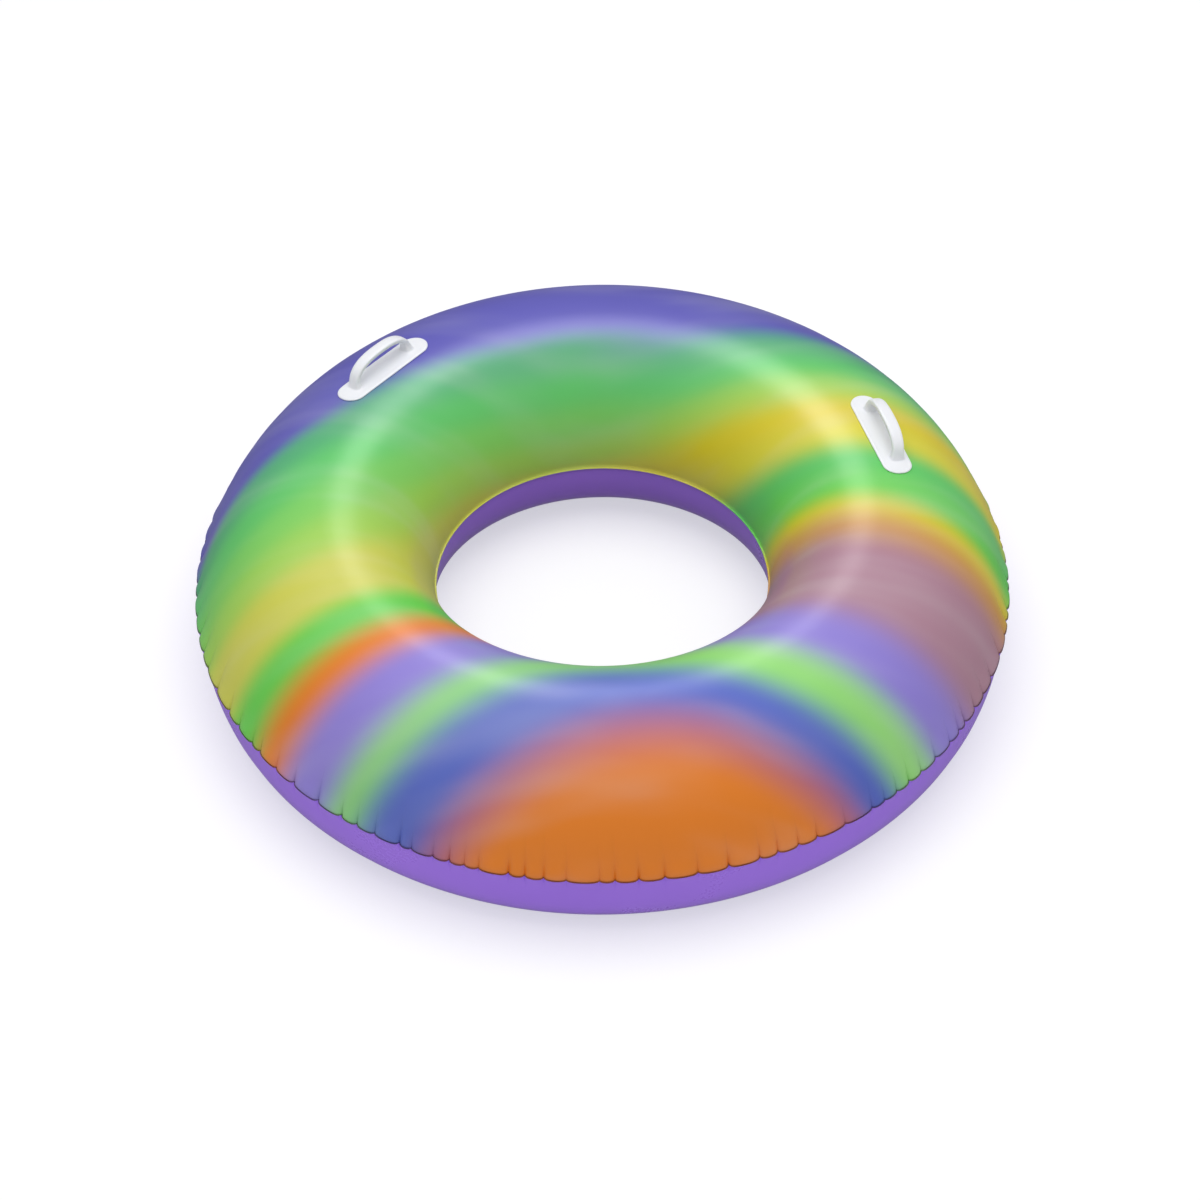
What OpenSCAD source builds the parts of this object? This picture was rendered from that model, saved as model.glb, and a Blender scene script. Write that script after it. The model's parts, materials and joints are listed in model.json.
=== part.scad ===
// Inflatable ring with two carry handles and an air valve.
// Origin: centre of the ring on the floor. +Z up. +Y points midway between the handles.

/* [Ring] */
// Diameter of the inflated ring at its outer weld
ring_d = 1070; // [900:10:1200]
// Diameter of the central hole at its inner weld
hole_d = 444; // [360:4:480]
// Height of the crown above the plane of the two welds
crown_h = 155; // [140:1:180]
// Depth of the underside below the plane of the two welds
keel_h = 110; // [105:1:140]
// Distance of the crown line from the ring's axis, as a share of the way from hole to rim
crown_share = 0.47; // [0.42:0.01:0.56]
// Distance of the middle of the resting band from the ring's axis, as a share of the same way
keel_share = 0.63; // [0.56:0.01:0.68]
// Width of the flat band that the ring rests on
rest_w = 30; // [16:1:50]
// Thickness of the plastic film
film = 0.5; // [0.4:0.05:0.8]
// Width of the welded margin round the outside
outer_margin = 3; // [2:0.5:5]
// Width of the welded margin round the hole
inner_margin = 2.5; // [2:0.5:4]

/* [Handles] */
// Angle from +Y to each handle
handle_angle = 61; // [40:0.5:80]
// Length of the welded pad along the ring
pad_l = 160; // [140:1:170]
// Width of the welded pad across the ring
pad_w = 40; // [34:1:48]
// Thickness of the welded pad
pad_t = 2.5; // [1.5:0.1:3]
// Distance of the middle of the pad from the ring's axis
pad_r = 386; // [370:1:400]
// Clear length of the finger opening under the grip
grip_span = 92; // [86:1:104]
// Clear height of the finger opening above the pad
grip_rise = 25; // [22:1:34]
// Thickness of the grip strap
grip_t = 8; // [6:0.5:10]
// Width of the grip strap
grip_w = 14; // [12:1:20]
// How far the grip's feet lie outside the middle of the pad
grip_shift = 3; // [0:1:8]
// Lean of the grip away from the hole, in degrees
grip_lean = 5; // [0:1:12]

/* [Valve] */
// Where the valve sits along the inner half of the top sheet: 0 at the crown, 1 at the inner weld
valve_t = 0.79; // [0.72:0.01:0.80]
// Radius of the welded valve flange
flange_r = 21; // [19:0.5:23]
// Thickness of the flange
flange_t = 1.5; // [1.2:0.1:2]
// Outer radius of the collar that passes through the film
collar_r = 9.8; // [9.6:0.1:10.4]
// Length of the collar inside the film
collar_l = 9; // [8:0.5:10]
// Outer radius of the stem
stem_r = 7; // [6.6:0.1:7.2]
// Length of the stem below its lip
stem_l = 22; // [21:0.5:24]
// Radius of the hole through the stem
bore_r = 4.6; // [4.5:0.1:4.8]
// Radius of the plug's head
plug_head_r = 7.6; // [7:0.1:8.4]
// Depth of the plug's tapered shank
shank_l = 4.7; // [4:0.1:5]
// Width of the strap that holds the plug
tether_w = 6; // [5:0.5:7]

/* [Hidden] */
$fn = 96;

ring_r = ring_d / 2;
hole_r = hole_d / 2;
crown_r = hole_r + crown_share * (ring_r - hole_r);
seam_z = keel_h;
crown_z = seam_z + crown_h;
keel_r = hole_r + keel_share * (ring_r - hole_r);
steps = 14;
running_gap = 0.3;
seat_gap = 0.2;
weld_gap = 0.03;

// The sheets' section is four curves that meet level at the crown and at the floor.
// A reach is how far a curve holds its direction at each end: first the share of its height
// at the weld, then the share of its width at the level end.
shoulder_reach = [0.21, 0.69];
hollow_reach = [0.31, 0.70];
under_reach = [0.77, 0.77];
top_lean = 9;
outer_tuck = 4;
inner_tuck = -4;

function bezier(a, b, c, d, t) =
    a * pow(1 - t, 3) + b * 3 * t * pow(1 - t, 2) + c * 3 * t * t * (1 - t) + d * pow(t, 3);

// Curve from a weld to a level point, leaving the weld at lean degrees from upright
function quarter(weld, level, lean, reach) =
    let (rise = level[1] - weld[1], run = level[0] - weld[0])
    let (leave = weld + reach[0] * [sign(run) * abs(rise) * tan(lean), rise])
    [for (i = [0:steps]) bezier(weld, leave, level - [reach[1] * run, 0], level, i / steps)];

function reverse(list) = [for (i = [len(list) - 1:-1:0]) list[i]];
function tail(list) = [for (i = [1:len(list) - 1]) list[i]];

outer_weld = [ring_r, seam_z];
inner_weld = [hole_r, seam_z];
crown = [crown_r, crown_z];

// Both paths run from the outer weld to the inner weld
top_path = concat(quarter(outer_weld, crown, top_lean, shoulder_reach),
                  tail(reverse(quarter(inner_weld, crown, inner_tuck, hollow_reach))));
under_path = concat(quarter(outer_weld, [keel_r + rest_w / 2, 0], outer_tuck, under_reach),
                    reverse(quarter(inner_weld, [keel_r - rest_w / 2, 0], inner_tuck, under_reach)));

// Unit vector square to a path, away from the air inside; side is 1 for the top, -1 underneath
function square_to(path, i, side) =
    i == 0 ? [1, 0] : i == len(path) - 1 ? [-1, 0] :
    let (along = path[i + 1] - path[i - 1])
    side * [along[1], -along[0]] / norm(along);
function moved_out(path, distance, side) =
    [for (i = [0:len(path) - 1]) path[i] + distance * square_to(path, i, side)];

module sheet(path, side) {
    margin_z = seam_z + side * film;
    outside = [for (i = [1:len(path) - 2]) path[i]];
    rotate_extrude() polygon(concat(
        [[ring_r + outer_margin, seam_z], [ring_r + outer_margin, margin_z], [ring_r, margin_z]],
        outside,
        [[hole_r, margin_z], [hole_r - inner_margin, margin_z], [hole_r - inner_margin, seam_z]],
        reverse(moved_out(path, -film, side))));
}

// Layer on the top sheet, from one distance above it to another
module on_top_sheet(from, to) {
    rotate_extrude() polygon(concat(moved_out(top_path, from, 1), reverse(moved_out(top_path, to, 1))));
}

module top_skin() {
    color("mediumpurple") difference() {
        sheet(top_path, 1);
        at_valve() cylinder(r = collar_r, h = 4 * collar_l, center = true);
    }
}

module bottom_skin() {
    color("rebeccapurple") sheet(under_path, -1);
}

// Handles: side is -1 on the left, 1 on the right

module at_handle(side) {
    rotate(90 - side * handle_angle) children();
}

module pad_outline() {
    straight = pad_l - pad_w;
    translate([pad_r, 0]) square([pad_w, straight], center = true);
    for (end = [-1, 1]) translate([pad_r, end * straight / 2]) circle(d = pad_w);
}

module handle_pad(side) {
    color("white") intersection() {
        at_handle(side) translate([0, 0, seam_z]) linear_extrude(2 * crown_h) pad_outline();
        on_top_sheet(0, pad_t);
    }
}

// Half an oval arch, width 2a and height b, squarer than an ellipse
arch_power = 0.8;
function arch(a, b) = [for (turn = [0:6:180])
    [a * sign(cos(turn)) * pow(abs(cos(turn)), arch_power), b * pow(sin(turn), arch_power)]];

module grip_outline() {
    foot = 9;
    sunk = 12;
    difference() {
        union() {
            polygon(arch(grip_span / 2 + grip_t, grip_rise + grip_t));
            translate([-grip_span / 2 - grip_t - foot, -sunk])
                square([grip_span + 2 * grip_t + 2 * foot, sunk + 3]);
        }
        polygon(arch(grip_span / 2, grip_rise));
        translate([-grip_span / 2, -2 * sunk]) square([grip_span, 2 * sunk + 0.01]);
    }
}

module handle_grip(side) {
    pad_top_z = lookup(pad_r, top_path) + pad_t;
    color("whitesmoke") difference() {
        at_handle(side) translate([pad_r + grip_shift, 0, pad_top_z]) rotate([0, grip_lean, 0])
            rotate([90, 0, 90]) linear_extrude(grip_w, center = true) grip_outline();
        rotate_extrude() polygon(moved_out(top_path, pad_t, 1));
    }
}

// Valve, on the top sheet's wall inside the hole on the -Y side.
// Its own +Z points out of the film, and its own +Y down towards the inner weld.
inner_half = quarter(inner_weld, crown, inner_tuck, hollow_reach);
valve_i = round((1 - valve_t) * steps);
valve_at = inner_half[valve_i];
valve_along = inner_half[valve_i + 1] - inner_half[valve_i - 1];
valve_tilt = atan2(valve_along[1], valve_along[0]);
echo(valve_y = -valve_at[0], valve_z = valve_at[1], elevation = 90 - valve_tilt);

module at_valve() {
    translate([0, -valve_at[0], valve_at[1]]) rotate([-valve_tilt, 0, 0]) children();
}

lip_t = 1.4;
lip_z = flange_t + 0.1 + seat_gap;
lip_top = lip_z + lip_t;
bead_t = 1.8;
flap_r = 6;
flap_t = 0.8;
head_z = lip_top + seat_gap;
head_t = 2;
tether_t = 1;
hinge_y = 14.8;
hinge_z = lip_top - 0.3;
knuckle_r = 1.5;

module valve_flange() {
    color("white") difference() {
        intersection() {
            on_top_sheet(weld_gap, flange_t);
            at_valve() cylinder(r = flange_r, h = 3 * collar_l, center = true);
        }
        at_valve() cylinder(r = collar_r, h = 4 * collar_l, center = true);
    }
}

module valve_collar() {
    color("whitesmoke") at_valve() translate([0, 0, -collar_l]) difference() {
        cylinder(r = collar_r, h = collar_l + flange_t + 0.1);
        translate([0, 0, -1]) cylinder(r = stem_r + running_gap, h = 2 * collar_l);
    }
}

module valve_stem() {
    color("white") at_valve() difference() {
        union() {
            translate([0, 0, lip_z]) cylinder(r = 9.2, h = lip_t);
            translate([0, 0, lip_z - stem_l]) cylinder(r = stem_r, h = stem_l);
            translate([0, 0, lip_z - stem_l]) cylinder(r = 8.4, h = bead_t);
        }
        translate([0, 0, lip_z - stem_l - 1]) cylinder(r = bore_r, h = 2 * stem_l);
    }
}

module tether_tab() {
    color("white") at_valve() difference() {
        translate([-tether_w / 2, 0, lip_z]) cube([tether_w, hinge_y - knuckle_r - 0.6, lip_t]);
        translate([0, 0, -1]) cylinder(r = 9.2, h = 10);
    }
}

module check_flap() {
    color("gainsboro") at_valve() translate([0, 0, lip_z - stem_l - seat_gap - flap_t])
        cylinder(r = flap_r, h = flap_t);
}

module valve_plug() {
    tab_l = 4;
    color("white") at_valve() translate([0, 0, head_z]) {
        translate([0, 0, -shank_l]) cylinder(r1 = 3.2, r2 = 4.2, h = shank_l);
        cylinder(r = plug_head_r, h = head_t);
        translate([-tether_w / 2, -plug_head_r - tab_l, 0]) cube([tether_w, plug_head_r, tether_t]);
    }
}

module tether_arm() {
    color("white") at_valve() difference() {
        union() {
            translate([-tether_w / 2, 0, head_z]) cube([tether_w, hinge_y, tether_t]);
            translate([0, hinge_y, hinge_z]) rotate([0, 90, 0])
                cylinder(r = knuckle_r, h = tether_w, center = true);
        }
        translate([0, 0, head_z - 1]) cylinder(r = plug_head_r, h = 10);
    }
}

top_skin();
bottom_skin();
handle_pad(-1);  // left_handle_pad
handle_grip(-1);  // left_handle_grip
handle_pad(1);  // right_handle_pad
handle_grip(1);  // right_handle_grip
valve_flange();
valve_collar();
valve_stem();
tether_tab();
check_flap();
valve_plug();
tether_arm();
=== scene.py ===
# %% [markdown]
# # An inflatable swim ring with two handles
# The real ring is two doughnut-shaped halves of thin vinyl film, welded together round the outside
# and round the hole, then blown up. The top half is printed with soft rainbow bands, the lower half
# is plain purple, and two white vinyl handles are welded near the crown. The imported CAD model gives
# every size and place, so this script only adds shape detail and finish.

import json
import math
import random

import bmesh
import bpy
import numpy as np
from mathutils import Matrix, Vector


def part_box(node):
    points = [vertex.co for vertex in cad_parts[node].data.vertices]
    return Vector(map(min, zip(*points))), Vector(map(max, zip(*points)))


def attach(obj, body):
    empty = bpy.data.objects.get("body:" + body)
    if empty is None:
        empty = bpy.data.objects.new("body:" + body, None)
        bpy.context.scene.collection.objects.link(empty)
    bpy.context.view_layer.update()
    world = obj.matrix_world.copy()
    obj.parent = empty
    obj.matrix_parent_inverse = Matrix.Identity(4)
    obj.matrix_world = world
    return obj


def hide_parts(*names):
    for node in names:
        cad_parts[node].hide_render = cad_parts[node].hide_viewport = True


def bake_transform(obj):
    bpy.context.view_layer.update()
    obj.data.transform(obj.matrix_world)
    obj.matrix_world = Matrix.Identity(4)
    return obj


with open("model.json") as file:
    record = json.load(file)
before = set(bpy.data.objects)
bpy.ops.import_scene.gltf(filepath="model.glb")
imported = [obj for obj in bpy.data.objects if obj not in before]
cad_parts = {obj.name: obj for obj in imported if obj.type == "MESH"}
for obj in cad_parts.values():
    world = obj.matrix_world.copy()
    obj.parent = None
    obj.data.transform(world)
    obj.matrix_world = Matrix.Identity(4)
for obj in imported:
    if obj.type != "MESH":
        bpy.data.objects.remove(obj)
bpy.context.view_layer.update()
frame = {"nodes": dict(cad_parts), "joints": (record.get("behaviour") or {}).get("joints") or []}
MM = 0.001
print("CAD nodes:", ", ".join(sorted(frame["nodes"])))

# %% [markdown]
# ## The section of the tube
# Blown-up film takes a smooth section: it leaves each weld nearly upright and runs level at the
# crown. Four Bezier curves describe it with a handful of numbers. The driving sizes are read from
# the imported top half, so the looks always follow the CAD.

# %% Driving sizes, in metres
OUTER_MARGIN = 3 * MM      # welded flange outside
INNER_MARGIN = 2.5 * MM    # welded flange inside the hole
FILM = 0.5 * MM            # film thickness
top_low, top_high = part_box("top_skin")
RIM_R = top_high.x - OUTER_MARGIN
WELD_Z = top_low.z
CROWN_Z = top_high.z
HOLE_R = min(math.hypot(v.co.x, v.co.y) for v in frame["nodes"]["top_skin"].data.vertices) + INNER_MARGIN
CROWN_R = HOLE_R + 0.47 * (RIM_R - HOLE_R)
KEEL_R = HOLE_R + 0.63 * (RIM_R - HOLE_R)
REST_W = 30 * MM
# How far a curve holds its direction: share of its height at the weld, of its width at the level end
SHOULDER_REACH, HOLLOW_REACH, UNDER_REACH = (0.21, 0.69), (0.31, 0.70), (0.77, 0.77)
TOP_LEAN, OUTER_TUCK, INNER_TUCK = 9, 4, -4
print(f"rim {RIM_R:.4f}, hole {HOLE_R:.4f}, weld height {WELD_Z:.4f}, crown height {CROWN_Z:.4f}")


def quarter(weld, level, lean, reach, steps=48):
    """Points from a weld to a level point; lean is the angle from upright at the weld."""
    weld, level = np.array(weld), np.array(level)
    run, rise = level - weld
    leave = weld + reach[0] * np.array([np.sign(run) * abs(rise) * math.tan(math.radians(lean)), rise])
    arrive = level - np.array([reach[1] * run, 0])
    t = np.linspace(0, 1, steps + 1)[:, None]
    return weld * (1 - t) ** 3 + leave * 3 * t * (1 - t) ** 2 + arrive * 3 * t * t * (1 - t) + level * t ** 3


class Sheet:
    """One film half: its section runs from the outer weld to the inner weld."""

    def __init__(self, points, side):
        keep = np.r_[True, np.hypot(*np.diff(points, axis=0).T) > 1e-7]
        self.points = points[keep]
        steps = np.hypot(*np.diff(self.points, axis=0).T)
        self.along = np.r_[0, np.cumsum(steps)]
        self.width = self.along[-1]
        slope = np.gradient(self.points, self.along, axis=0)
        slope /= np.linalg.norm(slope, axis=1)[:, None]
        self.normals = side * np.column_stack((slope[:, 1], -slope[:, 0]))

    def at(self, s):
        """Point and outward normal, both as (radius, height), at arc length s from the outer weld."""
        pick = lambda column: np.interp(s, self.along, column)
        normal = np.stack([pick(self.normals[:, 0]), pick(self.normals[:, 1])], -1)
        normal /= np.linalg.norm(normal, axis=-1, keepdims=True)
        return np.stack([pick(self.points[:, 0]), pick(self.points[:, 1])], -1), normal


rim, hole, crown = (RIM_R, WELD_Z), (HOLE_R, WELD_Z), (CROWN_R, CROWN_Z)
shoulder = quarter(rim, crown, TOP_LEAN, SHOULDER_REACH)
hollow = quarter(hole, crown, INNER_TUCK, HOLLOW_REACH)
under_outside = quarter(rim, (KEEL_R + REST_W / 2, 0), OUTER_TUCK, UNDER_REACH)
under_inside = quarter(hole, (KEEL_R - REST_W / 2, 0), INNER_TUCK, UNDER_REACH)
top_sheet = Sheet(np.vstack((shoulder, hollow[::-1])), 1)
under_sheet = Sheet(np.vstack((under_outside, under_inside[::-1])), -1)
print(f"film width across the section: top {top_sheet.width:.3f}, underside {under_sheet.width:.3f}")

# %% [markdown]
# ## Camera, floor and light
# The camera looks down at the ring from in front, a little to one side of the line midway between
# the handles. A soft panel behind the ring mirrors in the glossy crown as a closed pale loop, a wide
# panel overhead and a pale sky light everything evenly, and the floor is left out of reflections so
# that the film's edges stay rich in colour.

# %% Camera
VIEW_AZIMUTH, VIEW_ELEVATION = 12.1, 44.1
VIEW_DISTANCE = 5.654
VIEW_LENS = 128.1
VIEW_ROLL = -0.68
AIM_BELOW, AIM_LEFT = 25.4 * MM, 3.3 * MM


def direction(azimuth, elevation):
    a, e = math.radians(azimuth), math.radians(elevation)
    return Vector((math.sin(a) * math.cos(e), -math.cos(a) * math.cos(e), math.sin(e)))


back = direction(VIEW_AZIMUTH, VIEW_ELEVATION)
ring_centre = Vector((0, 0, WELD_Z))
camera_data = bpy.data.cameras.new("camera")
camera_data.lens = VIEW_LENS
camera = bpy.data.objects.new("camera", camera_data)
bpy.context.scene.collection.objects.link(camera)
camera.location = ring_centre + back * VIEW_DISTANCE
image_down = -(Vector((0, 0, 1)) - back * back.z).normalized()
image_left = Vector((0, 0, -1)).cross(back).normalized()
gaze = ring_centre + image_down * AIM_BELOW + image_left * AIM_LEFT - camera.location
turn = gaze.to_track_quat("-Z", "Y").to_matrix() @ Matrix.Rotation(math.radians(VIEW_ROLL), 3, "Z")
camera.rotation_euler = turn.to_euler()
bpy.context.scene.camera = camera
print("camera at", tuple(round(x, 3) for x in camera.location))

# %% Floor, sky and soft panels
scene = bpy.context.scene
scene.view_settings.view_transform = "Standard"


def plain_mesh(name, verts, faces):
    mesh = bpy.data.meshes.new(name)
    mesh.from_pydata([tuple(v) for v in verts], [], faces)
    mesh.update()
    obj = bpy.data.objects.new(name, mesh)
    scene.collection.objects.link(obj)
    return obj


FLOOR_HALF = 6.0
FLOOR_CORNERS = ((-1, -1), (1, -1), (1, 1), (-1, 1))
floor = plain_mesh("floor", [(x * FLOOR_HALF, y * FLOOR_HALF, 0) for x, y in FLOOR_CORNERS], [(0, 1, 2, 3)])
floor_material = bpy.data.materials.new("floor_paint")
floor_material.use_nodes = True
floor_shader = floor_material.node_tree.nodes["Principled BSDF"]
floor_shader.inputs["Base Color"].default_value = (0.5, 0.5, 0.45, 1)
floor_shader.inputs["Roughness"].default_value = 0.9
floor_shader.inputs["Specular IOR Level"].default_value = 0.0
floor_shader.inputs["Emission Color"].default_value = (1, 1, 1.08, 1)
floor.data.materials.append(floor_material)
floor.visible_glossy = False


def soft_panel(name, where, size, watts, tint=(1, 1, 1)):
    """A square area light that faces the ring."""
    data = bpy.data.lights.new(name, "AREA")
    data.size, data.energy, data.color = size, watts, tint
    panel = bpy.data.objects.new(name, data)
    scene.collection.objects.link(panel)
    panel.location = where
    panel.rotation_euler = (Vector(where) - ring_centre).to_track_quat("Z", "Y").to_euler()
    return panel


behind = -Vector((back.x, back.y, 0)).normalized()
MIRROR_BEHIND, MIRROR_ABOVE, MIRROR_SIZE, MIRROR_WATTS = 0.65, 0.95, 0.45, 3.2
OVERHEAD_ABOVE, OVERHEAD_SIZE, OVERHEAD_WATTS = 3.2, 3.2, 60
SKY_STRENGTH = 0.9
mirror_panel = soft_panel("panel_behind", ring_centre + behind * MIRROR_BEHIND + Vector((0, 0, MIRROR_ABOVE)),
                          MIRROR_SIZE, MIRROR_WATTS)
mirror_panel.visible_diffuse = False
overhead = soft_panel("panel_overhead", ring_centre + Vector((0, 0, OVERHEAD_ABOVE)),
                      OVERHEAD_SIZE, OVERHEAD_WATTS)
overhead.visible_glossy = False

world = bpy.data.worlds.new("studio")
scene.world = world
world.use_nodes = True
sky = world.node_tree
sky.nodes.clear()
sky_out = sky.nodes.new("ShaderNodeOutputWorld")
sky_light = sky.nodes.new("ShaderNodeBackground")
sky_ramp = sky.nodes.new("ShaderNodeValToRGB")
sky_split = sky.nodes.new("ShaderNodeSeparateXYZ")
sky_way = sky.nodes.new("ShaderNodeTexCoord")
sky.links.new(sky_way.outputs["Generated"], sky_split.inputs[0])
sky.links.new(sky_split.outputs["Z"], sky_ramp.inputs["Fac"])
sky.links.new(sky_ramp.outputs["Color"], sky_light.inputs["Color"])
sky.links.new(sky_light.outputs[0], sky_out.inputs[0])
sky_ramp.color_ramp.elements[0].color = (0.22, 0.22, 0.23, 1)
sky_ramp.color_ramp.elements[1].color = (0.85, 0.86, 0.88, 1)
sky_light.inputs["Strength"].default_value = SKY_STRENGTH
print("two soft panels, sky strength", SKY_STRENGTH)

# %% [markdown]
# ## Shader node groups
# Both films and all the moulded vinyl share two effects. "vinyl_surface" gives a faint ripple and
# fine orange-peel as a normal, and an uneven roughness with a few rubbed patches. "handling_dust"
# gives a mask that deepens colour slightly in soft clouds, as handled plastic does.

# %% Helpers for node trees


def socket(tree, name, kind, way, default=None):
    made = tree.interface.new_socket(name=name, socket_type=kind, in_out=way)
    if default is not None:
        made.default_value = default
    return made


def add(tree, kind, links=(), **values):
    """Adds a node; values set its properties, and links pairs an input with an output or a number."""
    node = tree.nodes.new(kind)
    for name, value in values.items():
        setattr(node, name, value)
    for name, source in links:
        if isinstance(source, bpy.types.NodeSocket):
            tree.links.new(source, node.inputs[name])
        else:
            node.inputs[name].default_value = source
    return node


def maths(tree, operation, a, b=0.0):
    return add(tree, "ShaderNodeMath", [(0, a), (1, b)], operation=operation).outputs[0]


def vector_maths(tree, operation, *values):
    return add(tree, "ShaderNodeVectorMath", list(enumerate(values)), operation=operation)


def mixed(tree, share, first, second, blend="MIX"):
    """Two colours mixed by a share from 0 to 1."""
    return add(tree, "ShaderNodeMix", [(0, share), (6, first), (7, second)],
               data_type="RGBA", blend_type=blend).outputs[2]


def noise(tree, vector, scale, detail=3.0, roughness=0.5):
    return add(tree, "ShaderNodeTexNoise", [("Vector", vector), ("Scale", scale), ("Detail", detail),
                                            ("Roughness", roughness)]).outputs["Fac"]


def eased(tree, value, low, high, to_low=0.0, to_high=1.0):
    """Maps value from low..high to to_low..to_high with a soft start and end."""
    return add(tree, "ShaderNodeMapRange", [("Value", value), ("From Min", low), ("From Max", high),
                                            ("To Min", to_low), ("To Max", to_high)],
               interpolation_type="SMOOTHSTEP").outputs["Result"]


# %% The floor's own glow
# It whitens the floor for the camera. It lights the ring only from outside the rim, so that the
# wall of the hole stays deep in colour.
FLOOR_GLOW = 0.56
tree = floor_material.node_tree
floor_spot = add(tree, "ShaderNodeTexCoord").outputs["Object"]
from_axis = vector_maths(tree, "LENGTH", floor_spot).outputs["Value"]
outside = eased(tree, from_axis, RIM_R - 0.08, RIM_R + 0.1)
seen = add(tree, "ShaderNodeLightPath").outputs["Is Camera Ray"]
glow = maths(tree, "MULTIPLY", maths(tree, "MAXIMUM", outside, seen), FLOOR_GLOW)
tree.links.new(glow, floor_shader.inputs["Emission Strength"])
print("floor glow set to", FLOOR_GLOW)

# %% Group: vinyl_surface
vinyl_surface = bpy.data.node_groups.new("vinyl_surface", "ShaderNodeTree")
tree = vinyl_surface
socket(tree, "Roughness", "NodeSocketFloat", "INPUT", 0.2)
socket(tree, "Rubbed", "NodeSocketFloat", "INPUT", 0.08)
socket(tree, "Ripple", "NodeSocketFloat", "INPUT", 0.1)
socket(tree, "Peel", "NodeSocketFloat", "INPUT", 0.05)
socket(tree, "Roughness", "NodeSocketFloat", "OUTPUT")
socket(tree, "Normal", "NodeSocketVector", "OUTPUT")
given = tree.nodes.new("NodeGroupInput")
place = add(tree, "ShaderNodeTexCoord").outputs["Object"]
rubbed = eased(tree, noise(tree, place, 7, 2), 0.35, 0.75)
fine = maths(tree, "MULTIPLY", noise(tree, place, 260, 2), 0.35)
uneven = maths(tree, "MULTIPLY", maths(tree, "ADD", rubbed, fine), given.outputs["Rubbed"])
ripple = add(tree, "ShaderNodeBump", [("Height", noise(tree, place, 14, 2)), ("Distance", 0.004),
                                      ("Strength", given.outputs["Ripple"])]).outputs[0]
peel = add(tree, "ShaderNodeBump", [("Height", noise(tree, place, 420, 2)), ("Distance", 0.0003),
                                    ("Strength", given.outputs["Peel"]), ("Normal", ripple)]).outputs[0]
roughness = maths(tree, "ADD", given.outputs["Roughness"], uneven)
add(tree, "NodeGroupOutput", [("Roughness", roughness), ("Normal", peel)])
print("group vinyl_surface:", len(tree.nodes), "nodes")

# %% Group: handling_dust
handling_dust = bpy.data.node_groups.new("handling_dust", "ShaderNodeTree")
tree = handling_dust
socket(tree, "Color", "NodeSocketColor", "INPUT")
socket(tree, "Amount", "NodeSocketFloat", "INPUT", 0.1)
socket(tree, "Color", "NodeSocketColor", "OUTPUT")
given = tree.nodes.new("NodeGroupInput")
place = add(tree, "ShaderNodeTexCoord").outputs["Object"]
clouds = maths(tree, "MULTIPLY", noise(tree, place, 5, 4, 0.6), given.outputs["Amount"])
dusted = mixed(tree, clouds, given.outputs["Color"], (0.35, 0.33, 0.33, 1), "MULTIPLY")
add(tree, "NodeGroupOutput", [("Color", dusted)])
print("group handling_dust:", len(tree.nodes), "nodes")

# %% Helpers that use the groups


def use_group(tree, group, links=()):
    node = add(tree, "ShaderNodeGroup", node_tree=group)
    for name, source in links:
        if isinstance(source, bpy.types.NodeSocket):
            tree.links.new(source, node.inputs[name])
        else:
            node.inputs[name].default_value = source
    return node


def new_material(name):
    material = bpy.data.materials.new(name)
    material.use_nodes = True
    return material, material.node_tree, material.node_tree.nodes["Principled BSDF"]


def dress(tree, shader, colour, dust, **surface):
    """Gives a shader its colour under handling dust, and the vinyl's roughness and normal."""
    inked = use_group(tree, handling_dust, [("Color", colour), ("Amount", dust)])
    tree.links.new(inked.outputs["Color"], shader.inputs["Base Color"])
    vinyl = use_group(tree, vinyl_surface, [(name.capitalize(), value) for name, value in surface.items()])
    for name in ("Roughness", "Normal"):
        tree.links.new(vinyl.outputs[name], shader.inputs[name])


# %% [markdown]
# ## The rainbow print
# The bands are printed on the film while it is flat, so each point of the mesh remembers where it
# lay on the flat sheet, in an attribute named printed_at. The bands are level curves of one
# stretched distance from a spot beyond the front edge, pulled round the hole at the back. Two
# colour ramps hold the inks of the left and right halves. The print is soft, so the group that
# paints it is placed five times with its bands shifted a little, and the five are averaged.

# %% Inks and bands


def ink(red, green, blue):
    """An ink as screen values 0-255, turned into the linear colour that shaders use."""
    screen = [value / 255 for value in (red, green, blue)]
    return tuple(c / 12.92 if c <= 0.04 else ((c + 0.055) / 1.055) ** 2.4 for c in screen) + (1,)


INKS = {
    "orange": ink(238, 132, 32), "rose": ink(190, 110, 128), "blue": ink(86, 106, 198),
    "lavender": ink(148, 132, 218), "mint": ink(148, 224, 116), "green": ink(108, 214, 80),
    "straw": ink(212, 212, 84), "lime": ink(168, 216, 88), "leaf": ink(130, 212, 98),
    "jade": ink(98, 204, 106), "teal": ink(84, 178, 122), "indigo": ink(96, 92, 186),
    "mauve": ink(178, 132, 150), "ochre": ink(210, 150, 64), "gold": ink(226, 206, 34),
    "yellow": ink(222, 214, 62),
}
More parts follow.
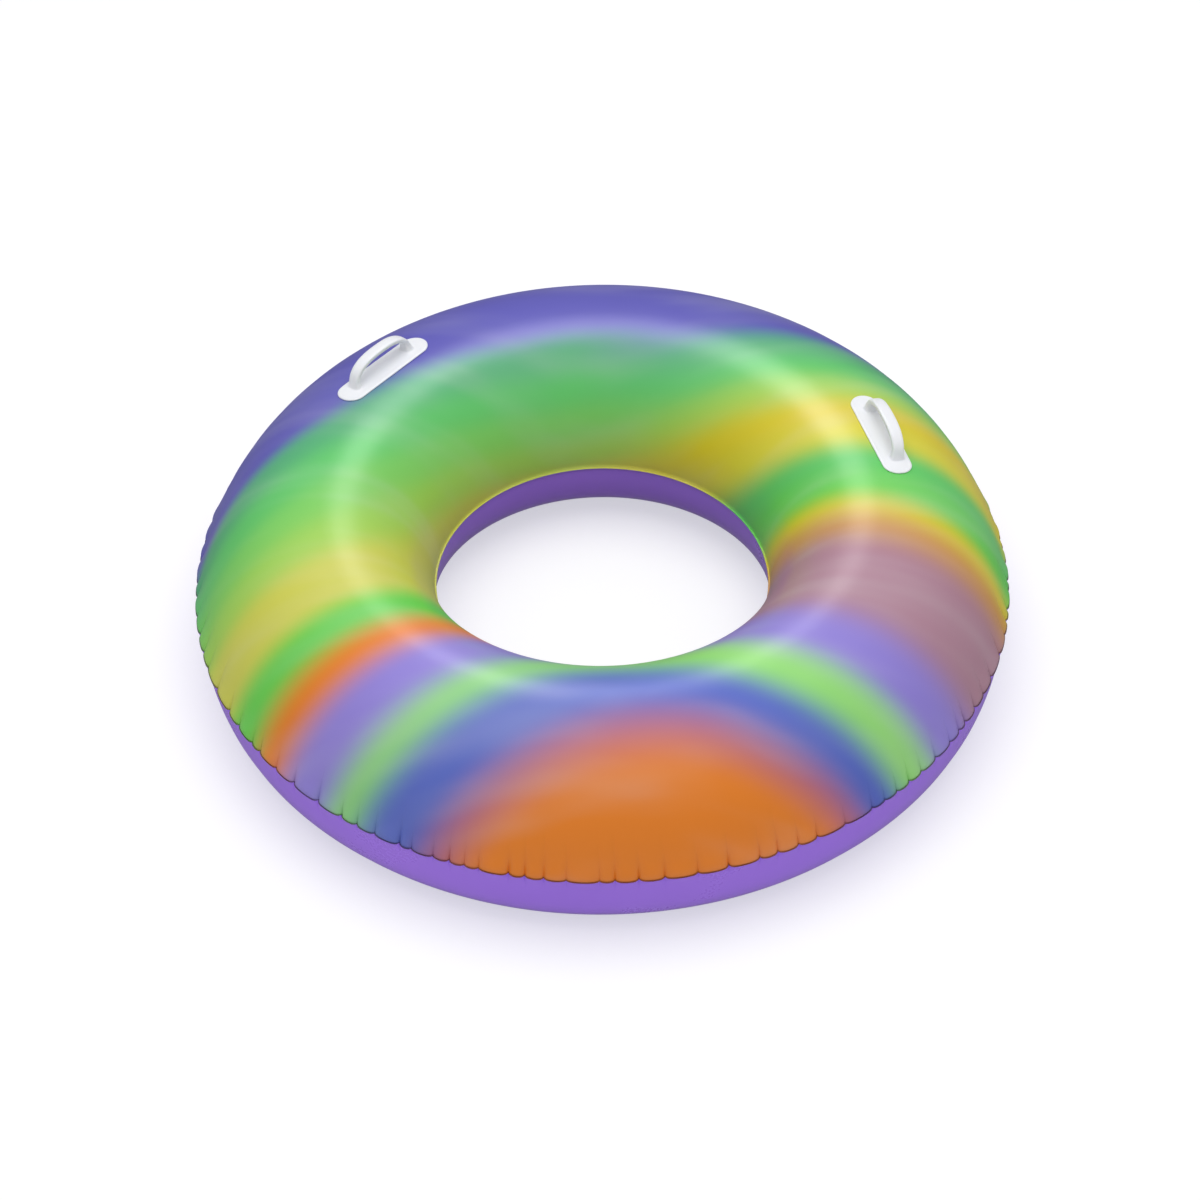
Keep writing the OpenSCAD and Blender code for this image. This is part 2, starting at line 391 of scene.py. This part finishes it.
# Each stop is a stretched distance and the ink printed there
LEFT_BANDS = [(0.20, "orange"), (0.345, "orange"), (0.40, "rose"), (0.46, "blue"), (0.52, "blue"),
              (0.585, "mint"), (0.655, "lavender"), (0.715, "lavender"), (0.77, "orange"), (0.80, "orange"),
              (0.85, "green"), (0.90, "green"), (0.955, "straw"), (1.06, "straw"), (1.16, "lime"),
              (1.30, "leaf"), (1.44, "jade"), (1.61, "teal"), (1.75, "indigo"), (1.95, "indigo")]
RIGHT_BANDS = [(0.20, "orange"), (0.345, "orange"), (0.40, "rose"), (0.46, "blue"), (0.50, "blue"),
               (0.555, "mint"), (0.60, "mint"), (0.665, "lavender"), (0.72, "lavender"), (0.82, "mauve"),
               (0.98, "mauve"), (1.08, "ochre"), (1.13, "gold"), (1.19, "green"), (1.30, "jade"),
               (1.38, "yellow"), (1.47, "gold"), (1.55, "lime"), (1.62, "jade"), (1.70, "teal"),
               (1.78, "indigo"), (1.95, "indigo")]
BANDS_FROM, BANDS_TO = 0.2, 2.0


def band_ramp(tree, distance, bands):
    """A colour ramp whose stops are the bands."""
    share = add(tree, "ShaderNodeMapRange", [("Value", distance), ("From Min", BANDS_FROM),
                                             ("From Max", BANDS_TO)])
    ramp = add(tree, "ShaderNodeValToRGB", [("Fac", share.outputs["Result"])])
    ramp.color_ramp.interpolation = "EASE"
    stops = ramp.color_ramp.elements
    while len(stops) < len(bands):
        stops.new(0.5)
    for stop, (where, name) in zip(stops, bands):
        stop.position = (where - BANDS_FROM) / (BANDS_TO - BANDS_FROM)
        stop.color = INKS[name]
    return ramp.outputs["Color"]


# %% Group: rainbow_bands
rainbow_bands = bpy.data.node_groups.new("rainbow_bands", "ShaderNodeTree")
socket(rainbow_bands, "Place", "NodeSocketVector", "INPUT")
socket(rainbow_bands, "Shift", "NodeSocketFloat", "INPUT", 0.0)
socket(rainbow_bands, "Color", "NodeSocketColor", "OUTPUT")
tree = rainbow_bands
given = tree.nodes.new("NodeGroupInput")
spot = add(tree, "ShaderNodeSeparateXYZ", [(0, given.outputs["Place"])])
across, ahead = spot.outputs["X"], spot.outputs["Y"]
from_hole = vector_maths(tree, "LENGTH", given.outputs["Place"]).outputs["Value"]
centre_x = eased(tree, ahead, -0.5, 0.5, 0.17, 0.42)
stretch = eased(tree, ahead, -0.5, 0.5, 1.7, 1.2)
sideways = maths(tree, "DIVIDE", maths(tree, "SUBTRACT", across, centre_x), stretch)
lengthways = maths(tree, "ADD", ahead, 1.15)
squares = maths(tree, "ADD", maths(tree, "POWER", sideways, 2.0), maths(tree, "POWER", lengthways, 2.0))
distance = maths(tree, "ADD", maths(tree, "SQRT", squares), given.outputs["Shift"])
pull_share = eased(tree, ahead, -0.5, 0.5, 0, 1.7)
pull = maths(tree, "MULTIPLY", pull_share, maths(tree, "SUBTRACT", from_hole, 0.73))
left_inks = band_ramp(tree, maths(tree, "ADD", distance, pull), LEFT_BANDS)
right_inks = band_ramp(tree, maths(tree, "ADD", distance, maths(tree, "MULTIPLY", pull, 0.22)), RIGHT_BANDS)
halves = mixed(tree, eased(tree, across, -0.1, 0.3), left_inks, right_inks)
add(tree, "NodeGroupOutput", [("Color", halves)])
print("group rainbow_bands:", len(tree.nodes), "nodes")

# %% Material: printed top film
top_film, tree, shader = new_material("printed_film")
flat_place = add(tree, "ShaderNodeAttribute", attribute_name="printed_at").outputs["Vector"]
# The third value of printed_at is a mask for painted shade at the outer weld
weld_shade = add(tree, "ShaderNodeSeparateXYZ", [(0, flat_place)]).outputs["Z"]
printed_at = vector_maths(tree, "MULTIPLY", flat_place, (1, 1, 0)).outputs[0]
swirl = add(tree, "ShaderNodeTexNoise", [("Vector", printed_at), ("Scale", 1.7), ("Detail", 1.5)])
drift = vector_maths(tree, "SUBTRACT", swirl.outputs["Color"], (0.5, 0.5, 0.5)).outputs[0]
soft_spot = vector_maths(tree, "MULTIPLY_ADD", drift, (0.055, 0.055, 0), printed_at).outputs[0]
BLUR_STEPS = (-0.024, -0.012, 0.0, 0.012, 0.024)
blurred = None
for count, shift in enumerate(BLUR_STEPS):
    layer = use_group(tree, rainbow_bands, [("Place", soft_spot), ("Shift", shift)]).outputs["Color"]
    blurred = layer if blurred is None else mixed(tree, 1 / (count + 1), blurred, layer)
# Painted sheen: pale grey mixed into the print in streaks along the bands, standing in for the film's milky
# reflection
brushed = vector_maths(tree, "MULTIPLY", soft_spot, (1.2, 5.0, 1.0)).outputs[0]
painted_sheen = eased(tree, noise(tree, brushed, 1.6, 2), 0.4, 0.8, 0.0, 0.14)
with_painted_sheen = mixed(tree, painted_sheen, blurred, (0.8, 0.8, 0.8, 1))
# Painted shade: the print darkens to deep purple at the outer weld, standing in for the shadow under the
# overhanging lobes
weld_shaded = mixed(tree, maths(tree, "MULTIPLY", weld_shade, 0.75), with_painted_sheen, ink(70, 30, 60))
dress(tree, shader, weld_shaded, 0.12, roughness=0.32, rubbed=0.05, ripple=0.04, peel=0.06)
shader.inputs["IOR"].default_value = 1.5
print("printed_film:", len(BLUR_STEPS), "layers of print")

# %% Material: purple under film
under_film, tree, shader = new_material("purple_film")
clouds = noise(tree, add(tree, "ShaderNodeTexCoord").outputs["Object"], 3.5, 3)
purple = mixed(tree, clouds, ink(172, 124, 246), ink(163, 115, 240))
dress(tree, shader, purple, 0.12, roughness=0.27, rubbed=0.02, ripple=0.02, peel=0.08)
print("purple_film made")

# %% Material: white moulded vinyl


def moulded_vinyl(name, colour, roughness, grain):
    material, tree, shader = new_material(name)
    dress(tree, shader, colour, 0.07, roughness=roughness, rubbed=0.1, ripple=0.04, peel=grain)
    shader.inputs["Subsurface Weight"].default_value = 0.15
    shader.inputs["Subsurface Scale"].default_value = 0.004
    shader.inputs["Subsurface Radius"].default_value = (1.0, 0.9, 0.8)
    return material


handle_vinyl = moulded_vinyl("handle_vinyl", ink(243, 244, 247), 0.38, 0.15)
valve_vinyl = moulded_vinyl("valve_vinyl", ink(232, 236, 238), 0.3, 0.1)
flap_vinyl = moulded_vinyl("flap_vinyl", ink(214, 218, 222), 0.45, 0.1)

# %% [markdown]
# ## Film with puckers
# Flat film has more length at its outer weld than the blown-up rim needs, so it gathers into
# pillow-like lobes with a sharp crease between each pair. Mesh columns are placed so that every
# crease falls exactly on one, closer together near the creases, and the rows away from the weld
# drop to half and then a quarter of the columns. The creases are real geometry, so they also show
# in the outline.

# %% Where the creases are
random.seed(7)
LOBE_COUNT = 112
COLUMNS = 12
lobe_widths = np.array([random.uniform(0.55, 1.45) for _ in range(LOBE_COUNT)])
crease_angles = np.cumsum(lobe_widths) / lobe_widths.sum() * 2 * math.pi
crease_depth = np.array([random.choice((0.8, 1.6, 2.4, 3.0, 3.8)) * MM for _ in range(LOBE_COUNT)])
crease_reach = np.array([random.uniform(16, 46) * MM for _ in range(LOBE_COUNT)])
lobe_angles = np.diff(np.r_[crease_angles, crease_angles[0] + 2 * math.pi])
spacing = (1 - np.cos(np.pi * np.arange(COLUMNS) / COLUMNS)) / 2
column_angles = (crease_angles[:, None] + lobe_angles[:, None] * spacing).ravel()
lobe_mm = lobe_angles * RIM_R / MM
print(f"{LOBE_COUNT} lobes, {lobe_mm.min():.0f} to {lobe_mm.max():.0f} mm wide")


def pucker(every, s):
    """How far the film stands out (m), and how far it lifts (m), at arc length s from the outer weld."""
    lobe = np.repeat(np.arange(LOBE_COUNT), COLUMNS)[::every]
    u = np.tile(spacing, LOBE_COUNT)[::every]
    width = lobe_angles[lobe] * RIM_R
    nxt = (lobe + 1) % LOBE_COUNT
    narrow = 2.2 * MM + 0.12 * s
    fade = lambda k: np.exp(-(s / crease_reach[k]) ** 1.6)
    valley = (crease_depth[lobe] * fade(lobe) * np.exp(-u * width / narrow)
              + crease_depth[nxt] * fade(nxt) * np.exp(-(1 - u) * width / narrow))
    pillow = np.sin(np.pi * u) ** 0.6 * np.minimum(width / (30 * MM), 1.2)
    at_weld = 1.0 * MM * math.exp(-s / (9 * MM))
    above_weld = 2.6 * MM * (s / (7 * MM)) * math.exp(1 - s / (7 * MM))
    swell = pillow * (at_weld + above_weld)
    lift = 2.2 * MM * np.exp(-np.minimum(u, 1 - u) * width / (5 * MM)) * math.exp(-s / (5 * MM))
    return swell - valley, lift


# %% Lay rows of film into a closed shell


def ring_row(every, radius, height):
    """A row of points round the ring; radius and height may vary from column to column."""
    angle = column_angles[::every]
    radius = np.broadcast_to(radius, angle.shape)
    height = np.broadcast_to(height, angle.shape)
    return np.column_stack((radius * np.cos(angle), radius * np.sin(angle), height))


def close_shell(name, rows, flat_rows, outward):
    """Joins rows, each an array of points, into a closed shell; neighbours match or differ twofold."""
    starts = np.r_[0, np.cumsum([len(row) for row in rows])]
    faces = []
    for i, row in enumerate(rows):
        j = (i + 1) % len(rows)
        a, b, na, nb = starts[i], starts[j], len(row), len(rows[j])
        if na == nb:
            faces += [(a + k, a + (k + 1) % na, b + (k + 1) % nb, b + k) for k in range(na)]
        elif na == 2 * nb:
            faces += [(a + 2 * k, a + 2 * k + 1, a + (2 * k + 2) % na, b + (k + 1) % nb, b + k)
                      for k in range(nb)]
        else:
            faces += [(a + k, a + (k + 1) % na, b + (2 * k + 2) % nb, b + 2 * k + 1, b + 2 * k)
                      for k in range(na)]
    if not outward:
        faces = [face[::-1] for face in faces]
    shell = plain_mesh(name, np.vstack(rows), faces)
    shell.data.shade_smooth()
    where = shell.data.attributes.new("printed_at", "FLOAT_VECTOR", "POINT")
    where.data.foreach_set("vector", np.vstack(flat_rows).astype(np.float32).ravel())
    return shell


def film_half(name, sheet, side, weld_fade):
    """One film half with its margins; side is 1 for the top and -1 for the underside."""
    print_turn = math.radians(VIEW_AZIMUTH)
    near = np.array([0.3, 1, 2, 3.2, 4.6, 6.2, 8, 10, 12.5, 15.5, 19, 23, 28, 34, 41, 49]) * MM
    middle = np.linspace(60 * MM, 110 * MM, 4)
    rest = np.linspace(125 * MM, sheet.width - 0.3 * MM, 56)
    stops = [(1, s) for s in near] + [(2, s) for s in middle] + [(4, s) for s in rest]
    rows, flat = [], []

    def lay(every, s, off, margin=0.0):
        # off is how far inside the outer face; margin is how far out past the weld
        (radius, height), (nr, nz) = [pair for pair in map(tuple, sheet.at(s))]
        out, lift = pucker(every, s)
        out, lift = out * weld_fade(s), lift * weld_fade(s)
        if s > 60 * MM:
            out, lift = 0.0, 0.0
        row = ring_row(every, radius + nr * (out - off) + margin, height + nz * (out - off) + lift)
        rows.append(row)
        flat_r = 1 - s / sheet.width * (1 - HOLE_R / RIM_R)
        angle = column_angles[::every] - print_turn
        # Third value: painted shade, full at the outer weld and fading within a few millimetres
        weld_shade = np.full(len(angle), math.exp(-s / (1.2 * MM)))
        flat.append(np.column_stack((flat_r * np.cos(angle), flat_r * np.sin(angle), weld_shade)))

    def lay_margin(every, s, reach, level):
        radius = (RIM_R if s == 0 else HOLE_R) + reach
        out, lift = pucker(every, s) if s == 0 else (0.0, 0.0)
        rows.append(ring_row(every, radius + out, WELD_Z + side * level + lift))
        flat_r = radius / RIM_R
        angle = column_angles[::every] - print_turn
        # Third value: painted shade, full on the outer weld's margin and none at the inner weld
        weld_shade = np.full(len(angle), float(s == 0))
        flat.append(np.column_stack((flat_r * np.cos(angle), flat_r * np.sin(angle), weld_shade)))

    lay_margin(1, 0, OUTER_MARGIN * 0.6, 0)
    lay_margin(1, 0, OUTER_MARGIN * 0.6, FILM)
    lay_margin(1, 0, OUTER_MARGIN * 0.3, FILM)
    for every, s in stops:
        lay(every, s, 0)
    lay_margin(4, sheet.width, -INNER_MARGIN * 0.4, FILM)
    lay_margin(4, sheet.width, -INNER_MARGIN, FILM)
    lay_margin(4, sheet.width, -INNER_MARGIN, 0)
    for every, s in reversed(stops):
        lay(every, s, FILM)
    return close_shell(name, rows, flat, side > 0)


top_shell = film_half("top_film", top_sheet, 1, lambda s: 1.0)
under_shell = film_half("under_film", under_sheet, -1, lambda s: math.exp(-s / (7 * MM)))
for shell, material, node, slot in ((top_shell, top_film, "top_skin", "top_film"),
                                    (under_shell, under_film, "bottom_skin", "bottom_film")):
    shell.data.materials.append(material)
    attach(shell, "ring")
    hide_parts(node)
    print(f"{shell.name}: {len(shell.data.vertices)} points, {len(shell.data.polygons)} faces")

# %% [markdown]
# ## The handles
# Each handle is one soft vinyl moulding: a thin rounded pad with a raised rim, welded flat to the
# film, and an arched strap whose feet swell into the pad. It is modelled flat, as the mould makes
# it, from two overlapping solids. A voxel remesh fuses them, smoothing rounds the joins as the
# mould does, and only then is every point laid onto the curved film.

# %% Lay a flat piece onto the film


def lay_on_film(points, s0, azimuth):
    """Flat points (along the ring, across towards the rim, up) onto the top film at arc length s0."""
    u, v, w = points.T
    place, normal = top_sheet.at(s0 - v)
    middle = top_sheet.at(np.array([s0]))[0][0, 0]
    angle = math.radians(azimuth) - u / middle
    radius = place[:, 0] + normal[:, 0] * w
    return np.column_stack((radius * np.cos(angle), radius * np.sin(angle), place[:, 1] + normal[:, 1] * w))


def lay_straight(points, azimuth):
    """Like lay_on_film, round the pad's place, but straight edges stay straight when seen from above."""
    u, v, w = points.T
    from_axis = np.hypot(PAD_R + v, u)
    place, normal = top_sheet.at(np.interp(-from_axis, -top_sheet.points[:, 0], top_sheet.along))
    angle = math.radians(azimuth) - np.arctan2(u, PAD_R + v)
    radius = place[:, 0] + normal[:, 0] * w
    return np.column_stack((radius * np.cos(angle), radius * np.sin(angle), place[:, 1] + normal[:, 1] * w))


def loft(name, rings):
    """A skin over rings of equal point counts, closed at both ends."""
    count = len(rings[0])
    faces = [(low + k, low + (k + 1) % count, low + count + (k + 1) % count, low + count + k)
             for low in range(0, (len(rings) - 1) * count, count) for k in range(count)]
    faces += [tuple(range(count))[::-1], tuple((len(rings) - 1) * count + k for k in range(count))]
    return plain_mesh(name, np.vstack(rings), faces)


def final_mesh(obj):
    """Applies every modifier by taking the evaluated mesh."""
    depsgraph = bpy.context.evaluated_depsgraph_get()
    made = bpy.data.meshes.new_from_object(obj.evaluated_get(depsgraph))
    obj.modifiers.clear()
    obj.data = made
    return obj


def join(parts, name):
    """One object that holds the meshes of several."""
    verts, faces, base = [], [], 0
    for part in parts:
        verts += [tuple(v.co) for v in part.data.vertices]
        faces += [tuple(base + i for i in p.vertices) for p in part.data.polygons]
        base = len(verts)
        bpy.data.objects.remove(part)
    return plain_mesh(name, verts, faces)


# %% Shape one handle
PAD_L, PAD_W, PAD_T = 160 * MM, 40 * MM, 2.3 * MM
PAD_R = 386 * MM            # from the ring's axis to the middle of the pad
GRIP_SPAN, GRIP_RISE, GRIP_T, GRIP_W = 92 * MM, 25 * MM, 8 * MM, 14 * MM
GRIP_SHIFT, GRIP_SLOPE = 3 * MM, 0.02
VOXEL = 0.8 * MM


def pad_ring(inset, height, steps=24):
    """The pad's outline pulled in by inset, at one height."""
    half, end = (PAD_L - PAD_W) / 2, PAD_W / 2 - inset
    turns = np.r_[np.linspace(-90, 90, steps), np.linspace(90, 270, steps)] * math.pi / 180
    side = np.r_[np.ones(steps), -np.ones(steps)]
    level = np.full(2 * steps, height)
    return np.column_stack((side * half + end * np.cos(turns), end * np.sin(turns), level))


def flat_pad(name):
    rim = [(1.2, 0.0), (0.3, 0.4), (0.0, 1.1), (0.3, 1.9), (1.0, 2.5), (2.2, 2.8), (3.6, 2.7), (5.2, 2.3)]
    return loft(name, [pad_ring(inset * MM, height * MM) for inset, height in rim])


def arch_strap(name):
    """The strap: a rounded bar carried along half an oval, swelling at its feet."""
    rings = []
    a, b = (GRIP_SPAN + GRIP_T) / 2, GRIP_RISE + GRIP_T / 2
    oval = lambda x: math.copysign(abs(x) ** 0.8, x)
    corner = np.linspace(0, 2 * math.pi, 32, endpoint=False)
    for turn in np.linspace(-4, 184, 61) * math.pi / 180:
        c, s = math.cos(turn), math.sin(turn)
        rise = b * oval(s)
        middle = np.array([a * oval(c), GRIP_SHIFT + GRIP_SLOPE * rise, PAD_T + rise])
        outward = np.array([c / a, 0, s / b])
        outward /= np.linalg.norm(outward)
        low = math.exp(-max(rise, 0) / (6 * MM))
        thick, wide = GRIP_T / 2 + 3.2 * MM * low, GRIP_W / 2 + 2.5 * MM * low
        across = wide * np.sign(np.cos(corner)) * np.abs(np.cos(corner)) ** 0.6
        through = thick * np.sign(np.sin(corner)) * np.abs(np.sin(corner)) ** 0.6
        rings.append(middle + across[:, None] * np.array([0, 1, 0]) + through[:, None] * outward)
    return loft(name, rings)


def moulded_handle(name, azimuth):
    blank = join([flat_pad("pad"), arch_strap("strap")], name)
    remesh = blank.modifiers.new("fuse", "REMESH")
    remesh.mode, remesh.voxel_size, remesh.use_smooth_shade = "VOXEL", VOXEL, True
    soften = blank.modifiers.new("soften", "SMOOTH")
    soften.factor, soften.iterations = 0.5, 6
    handle = final_mesh(blank)
    flat = np.array([v.co for v in handle.data.vertices])
    flat[:, 2] = np.maximum(flat[:, 2], 0.05 * MM)
    handle.data.vertices.foreach_set("co", lay_straight(flat, azimuth).ravel())
    handle.data.update()
    handle.data.shade_smooth()
    handle.data.materials.append(handle_vinyl)
    return handle


# %% Place both handles
for side in ("left", "right"):
    low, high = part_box(f"{side}_handle_pad")
    middle = (low + high) / 2
    azimuth = math.degrees(math.atan2(middle.y, middle.x))
    handle = moulded_handle(f"{side}_handle", azimuth)
    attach(handle, "ring")
    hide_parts(f"{side}_handle_pad", f"{side}_handle_grip")
    print(f"{side} handle at {azimuth:.1f} degrees, {len(handle.data.vertices)} points")

# %% [markdown]
# ## The air valve
# The valve sits low on the hole's wall. A flange is welded to the film, and its collar holds a soft
# stem that pulls out for blowing up. A thin flap closes the stem's lower end, and a plug on a
# folded strap closes the top. Nearly all of it is round, so each piece is a small profile with
# rounded corners, turned about the valve's own axis. The place comes from the joints in the record.

# %% Where the valve is
joints = {joint["name"]: joint for joint in frame["joints"]}
valve_out = Vector(joints["valve_pull"]["axis"]).normalized()
valve_down = Vector((0, valve_out.z, -valve_out.y))
HINGE_Y, HINGE_Z = 14.8 * MM, 2.9 * MM
valve_centre = Vector(joints["plug_swing"]["pos_m"]) - valve_down * HINGE_Y - valve_out * HINGE_Z
valve_frame = Matrix((Vector((1, 0, 0)), valve_down, valve_out)).transposed().to_4x4()
valve_frame.translation = valve_centre
try_s = np.linspace(0, top_sheet.width, 4001)
try_at = top_sheet.at(try_s)[0]
valve_s = float(try_s[np.argmin(np.hypot(try_at[:, 0] + valve_centre.y, try_at[:, 1] - valve_centre.z))])
print("valve at", tuple(round(x, 4) for x in valve_centre), f"{valve_s:.3f} m along the film")

# %% Turned pieces with rounded corners


def rounded(corners, steps=5):
    """A closed profile in metres from corners (radius, height, rounding) in millimetres."""
    points = []
    count = len(corners)
    for i, (r, z, rounding) in enumerate(corners):
        here = np.array([r, z], float)
        ends = []
        for other in (corners[i - 1], corners[(i + 1) % count]):
            way = np.array(other[:2], float) - here
            length = np.linalg.norm(way)
            ends.append(here + way / length * min(rounding, length * 0.45))
        if rounding == 0:
            points.append(here)
            continue
        for t in np.linspace(0, 1, steps):
            points.append(ends[0] * (1 - t) ** 2 + here * 2 * t * (1 - t) + ends[1] * t * t)
    return np.array(points) * MM


def turned(name, corners, segments=72):
    """Turns a closed profile about the axis; a profile that starts and ends on the axis is closed there."""
    profile = rounded(corners)
    solid = profile[0, 0] < 1e-9
    bm = bmesh.new()
    rings = []
    for r, z in profile:
        if r < 1e-9:
            rings.append([bm.verts.new((0, 0, z))])
        else:
            rings.append([bm.verts.new((r * math.cos(a), r * math.sin(a), z))
                          for a in np.linspace(0, 2 * math.pi, segments, endpoint=False)])
    pairs = list(zip(rings, rings[1:] + ([] if solid else rings[:1])))
    for low, high in pairs:
        for k in range(segments):
            loop = [low[k % len(low)], low[(k + 1) % len(low)]]
            loop += [high[(k + 1) % len(high)], high[k % len(high)]]
            loop = [v for i, v in enumerate(loop) if v not in loop[:i]]
            if len(loop) > 2:
                bm.faces.new(loop)
    bmesh.ops.recalc_face_normals(bm, faces=bm.faces)
    mesh = bpy.data.meshes.new(name)
    bm.to_mesh(mesh)
    bm.free()
    obj = bpy.data.objects.new(name, mesh)
    scene.collection.objects.link(obj)
    return obj


def rounded_bar(name, path, width, thickness):
    """A flat strap along a path in the valve's own upright plane, with rounded edges."""
    path = np.array(path, float) * MM
    rings = []
    corner = np.linspace(0, 2 * math.pi, 16, endpoint=False)
    x = width / 2 * np.sign(np.cos(corner)) * np.abs(np.cos(corner)) ** 0.25
    t = thickness / 2 * np.sign(np.sin(corner)) * np.abs(np.sin(corner)) ** 0.5
    along = np.gradient(path, axis=0)
    along /= np.linalg.norm(along, axis=1)[:, None]
    for (y, z), (dy, dz) in zip(path, along):
        rings.append(np.column_stack((x, y + t * -dz, z + t * dy)))
    return loft(name, rings)


def fused(name, parts):
    """The union of closed pieces as one piece."""
    base = parts[0]
    for part in parts[1:]:
        union = base.modifiers.new("union", "BOOLEAN")
        union.operation, union.solver, union.object = "UNION", "EXACT", part
    final_mesh(base)
    for part in parts[1:]:
        bpy.data.objects.remove(part)
    base.name = name
    return base


def fit_valve_piece(obj, body=None, replaced=(), material=valve_vinyl, placed=False):
    """Moves a piece from the valve's own frame to its place, and gives it its finish."""
    if not placed:
        obj.data.transform(valve_frame)
    bm = bmesh.new()
    bm.from_mesh(obj.data)
    bmesh.ops.recalc_face_normals(bm, faces=bm.faces)
    bm.to_mesh(obj.data)
    bm.free()
    obj.data.shade_smooth()
    obj.data.materials.clear()
    obj.data.materials.append(material)
    if body:
        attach(obj, body)
    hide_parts(*replaced)
    print(f"{obj.name}: {len(obj.data.vertices)} points")


# %% Flange, laid on the curved film
flange = turned("valve_flange_ring", [
    (9.95, 0.05, 0), (21, 0.05, 0.2), (21, 0.9, 0.5), (19.4, 1.5, 0.5),
    (18.2, 1.05, 0.4), (12.6, 1.05, 0.5), (11.6, 1.5, 0.4), (9.95, 1.5, 0.3)])
flat = np.array([v.co for v in flange.data.vertices]) * (-1, -1, 1)
flange.data.vertices.foreach_set("co", lay_on_film(flat, valve_s, -90).ravel())
flange.data.update()
fit_valve_piece(flange, "ring", ["valve_flange"], placed=True)

# %% Collar, stem, plug, strap and flap
collar = turned("valve_cuff", [(7.3, -9, 0.4), (9.8, -9, 0.6), (9.8, 1.6, 0.5), (7.3, 1.6, 0.4)])
fit_valve_piece(collar, "ring", ["valve_collar"])

stem = turned("valve_tube", [
    (4.6, -20.2, 0.3), (8.4, -20.2, 0.5), (8.4, -18.4, 0.6), (7, -17.8, 0.4), (7, 1.4, 0.6),
    (9.2, 1.8, 0.4), (9.2, 3.2, 0.6), (5.2, 3.2, 0.3), (4.6, 2.4, 0.3)])
fit_valve_piece(stem, "stem", ["valve_stem"])

tab_path = [(y, 3.95) for y in (-6.4, -8, -10, -11.2, -11.6)]
plug = fused("valve_stopper", [
    turned("stopper", [(0, -1.3, 0), (3.2, -1.3, 0.5), (4.2, 3.4, 0.3), (7.6, 3.4, 0.3), (7.6, 5.4, 0.9),
                       (4.6, 5.4, 0.5), (4.0, 4.8, 0.5), (0, 4.8, 0)]),
    rounded_bar("finger_tab", tab_path, 6 * MM, 1.0 * MM)])
fit_valve_piece(plug, "plug", ["valve_plug"])

fold = [(14.0 + 0.75 * math.sin(a), 3.1 - 0.75 * math.cos(a)) for a in np.linspace(0, math.pi, 13)]
on_stem = [(y, 2.35) for y in (8.4, 10, 12)]
on_plug = [(y, 3.85) for y in (12, 9.5, 6.8)]
strap = rounded_bar("stopper_strap", on_stem + fold + on_plug, 6 * MM, 0.9 * MM)
fit_valve_piece(strap, None, ["tether_tab", "tether_arm"])
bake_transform(strap)

flap = turned("valve_flap", [(0, -21.2, 0), (6, -21.2, 0.3), (6, -20.4, 0.3), (0, -20.4, 0)])
fit_valve_piece(flap, "flap", ["check_flap"], material=flap_vinyl)

# %% [markdown]
# ## The hole in the film under the valve
# The flange is welded round a hole in the film. The faces inside the flange's ring are taken out of
# both layers of the film, the edges are rounded to a circle, and the two layers are joined there.

# %% Cut the valve's hole
HOLE_UNDER_VALVE = 10.3 * MM
bm = bmesh.new()
bm.from_mesh(top_shell.data)
into_valve = valve_frame.inverted()
near = [f for f in bm.faces if abs((into_valve @ f.calc_center_median()).z) < 8 * MM
        and (into_valve @ f.calc_center_median()).xy.length < 12 * MM]
bmesh.ops.delete(bm, geom=near, context="FACES")
edge = [e for e in bm.edges if e.is_boundary]
for vert in {v for e in edge for v in e.verts}:
    spot = into_valve @ vert.co
    spot.xy = spot.xy.normalized() * HOLE_UNDER_VALVE
    vert.co = valve_frame @ spot
bmesh.ops.bridge_loops(bm, edges=edge)
bmesh.ops.recalc_face_normals(bm, faces=bm.faces)
bm.to_mesh(top_shell.data)
open_edges = sum(1 for e in bm.edges if not e.is_manifold)
bm.free()
print(f"valve hole cut from {len(near)} faces; open edges left: {open_edges}")
